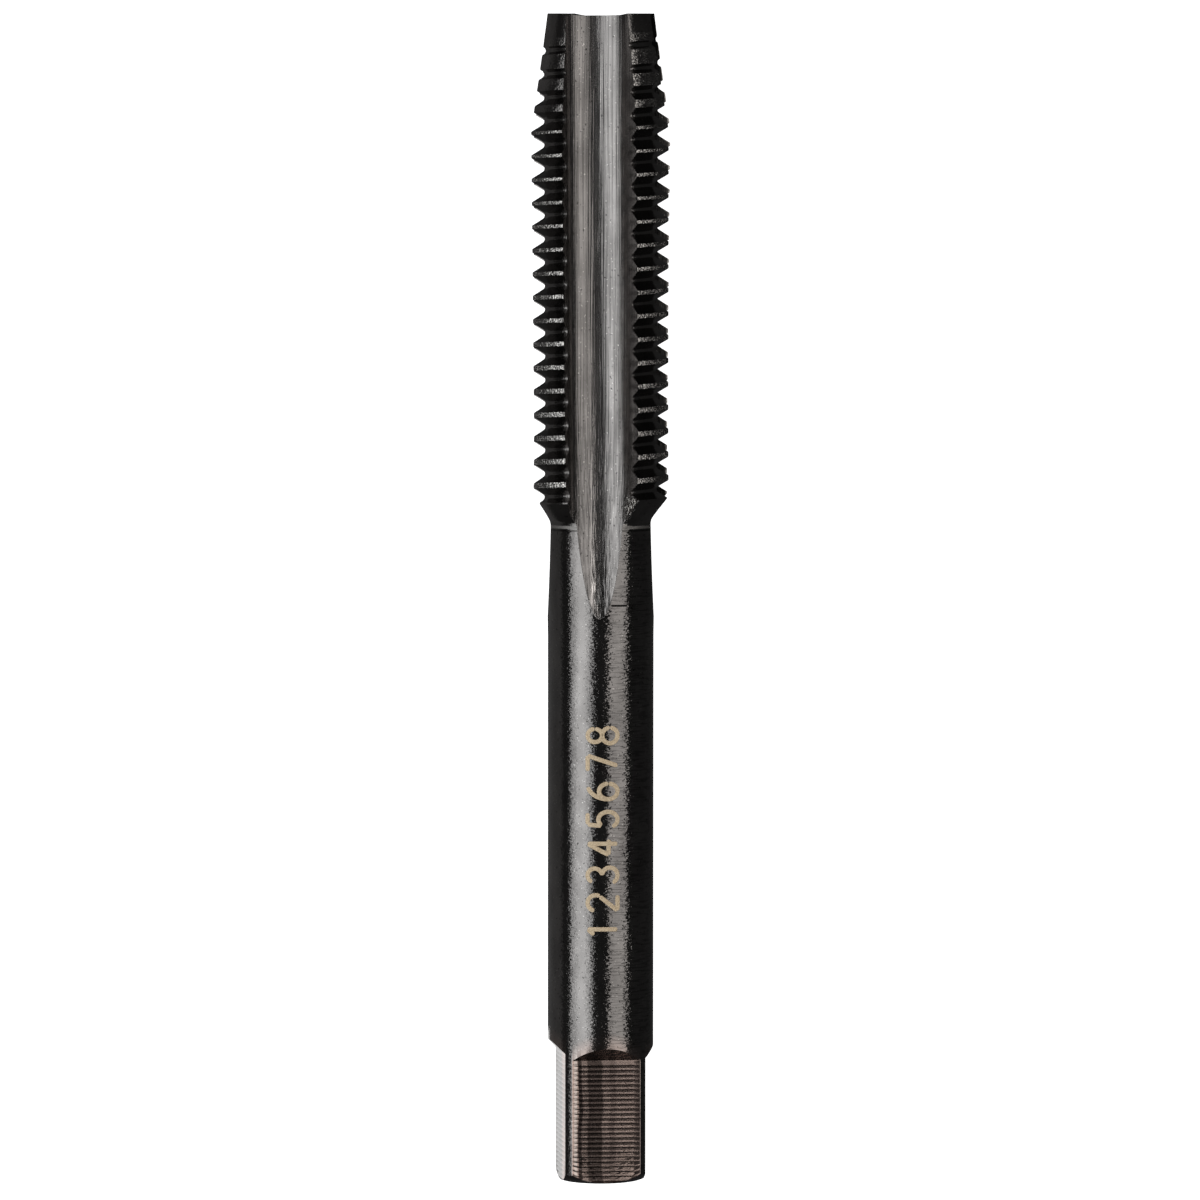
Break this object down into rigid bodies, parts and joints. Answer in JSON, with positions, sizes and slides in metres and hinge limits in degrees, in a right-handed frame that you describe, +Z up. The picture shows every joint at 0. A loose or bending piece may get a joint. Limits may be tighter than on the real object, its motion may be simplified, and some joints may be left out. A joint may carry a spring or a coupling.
{
  "type": "thread tap",
  "caption": "Straight-flute hand tap for cutting a metric screw thread, with a tapered lead, a plain round shank and a driving square.",
  "frame": {"origin": "centre of the drive-end face, on the tool's axis", "axes": "+Y along the tool's axis from the drive end to the tip, +Z up through the middle of one flute, +X to the right of it when seen from above with the tip away"},
  "size_m": [0.009, 0.075, 0.009],
  "materials": {
    "black_steel": "black oxide over ground high-speed steel, satin on the shank and brighter along the ground edges"
  },
  "bodies": {
    "root": {"tap": "black_steel"}
  },
  "joints": []
}
